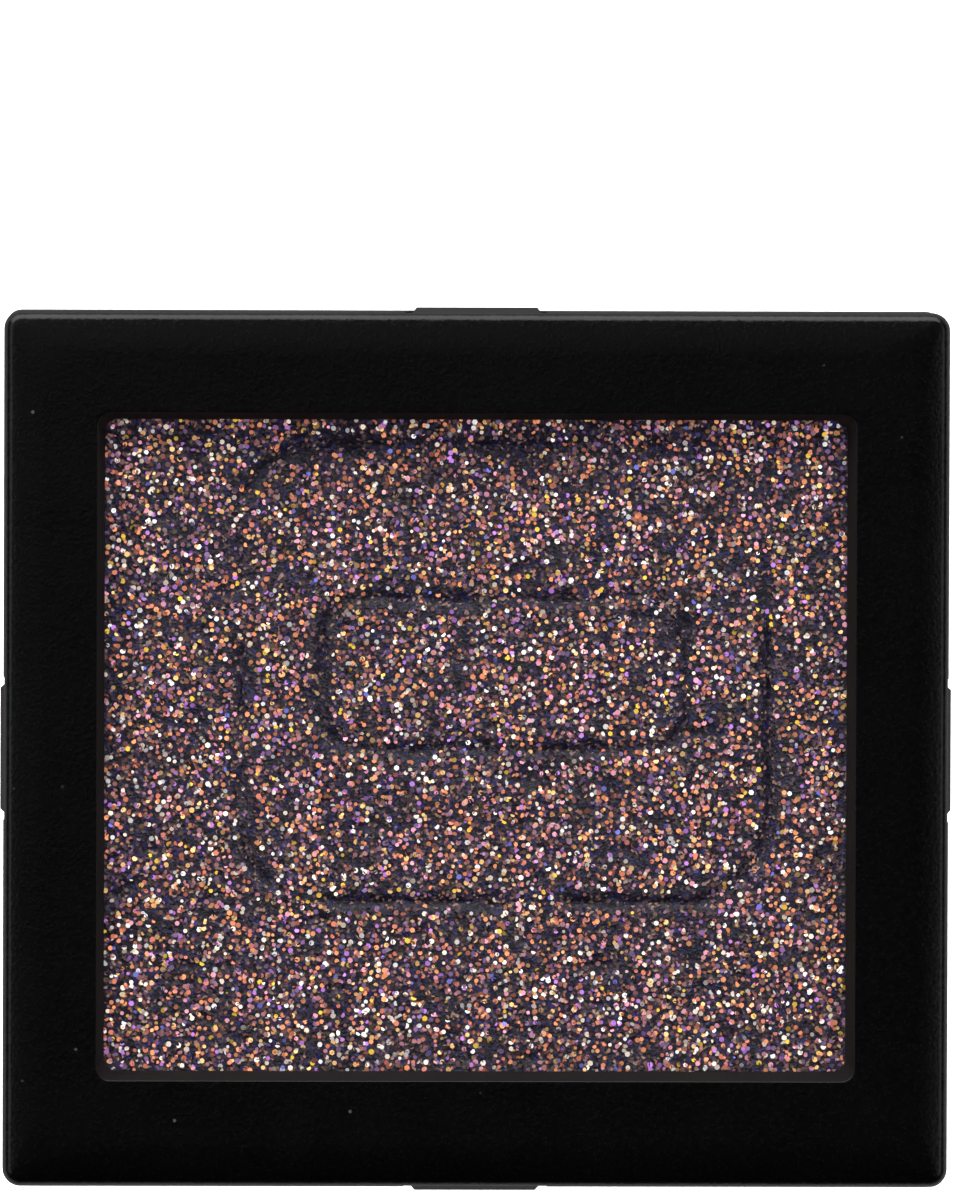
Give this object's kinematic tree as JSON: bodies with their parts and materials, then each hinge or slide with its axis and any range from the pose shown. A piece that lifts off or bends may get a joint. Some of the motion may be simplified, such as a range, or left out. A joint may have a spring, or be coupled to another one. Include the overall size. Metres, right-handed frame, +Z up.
{
  "type": "eyeshadow refill",
  "caption": "Square snap-in eyeshadow refill: black moulded frame and tray round one pan of pressed glitter powder, with a snap bead on each side.",
  "frame": {"origin": "centre of the underside, on the surface that the refill lies on", "axes": "+X to the right and +Y to the back as the powder is seen from above, +Z up out of the powder's face"},
  "size_m": [0.0292, 0.0272, 0.005],
  "materials": {
    "frame_plastic": "fine moulded grain",
    "tray_plastic": "fine moulded grain",
    "pan_metal": "satin drawn sheet",
    "glitter_powder": "pressed powder with fine glitter flakes",
    "adhesive_foam": "thin foam tape",
    "label_paper": "uncoated paper"
  },
  "bodies": {
    "tray": {"base_tray": "tray_plastic", "adhesive_pad_left": "adhesive_foam", "adhesive_pad_right": "adhesive_foam", "rear_label": "label_paper"},
    "frame": {"top_frame": "frame_plastic"},
    "pan": {"pan": "pan_metal", "powder_cake": "glitter_powder"},
    "finger_front": {"finger_front": "tray_plastic"},
    "finger_back": {"finger_back": "tray_plastic"},
    "finger_left": {"finger_left": "tray_plastic"},
    "finger_right": {"finger_right": "tray_plastic"}
  },
  "joints": [
    {"name": "frame_lift", "type": "slide", "parent": "tray", "child": "frame", "axis": [0, 0, 1], "range_m": [0, 0.01]},
    {"name": "pan_lift", "type": "slide", "parent": "tray", "child": "pan", "axis": [0, 0, 1], "range_m": [0, 0.005]},
    {"name": "finger_front_flex", "type": "hinge", "parent": "tray", "child": "finger_front", "pos_m": [0, -0.01298, 0.00115], "axis": [-1, 0, 0], "range_deg": [0, 6], "stiffness_Nm_per_rad": 0.08},
    {"name": "finger_back_flex", "type": "hinge", "parent": "tray", "child": "finger_back", "pos_m": [0, 0.01298, 0.00115], "axis": [1, 0, 0], "range_deg": [0, 6], "stiffness_Nm_per_rad": 0.08},
    {"name": "finger_left_flex", "type": "hinge", "parent": "tray", "child": "finger_left", "pos_m": [-0.01405, 0, 0.00115], "axis": [0, 1, 0], "range_deg": [0, 6], "stiffness_Nm_per_rad": 0.08},
    {"name": "finger_right_flex", "type": "hinge", "parent": "tray", "child": "finger_right", "pos_m": [0.01405, 0, 0.00115], "axis": [0, -1, 0], "range_deg": [0, 6], "stiffness_Nm_per_rad": 0.08}
  ],
  "couplings": [
    {"joint": "pan_lift", "follows": "frame_lift", "ratio": 0.5}
  ]
}
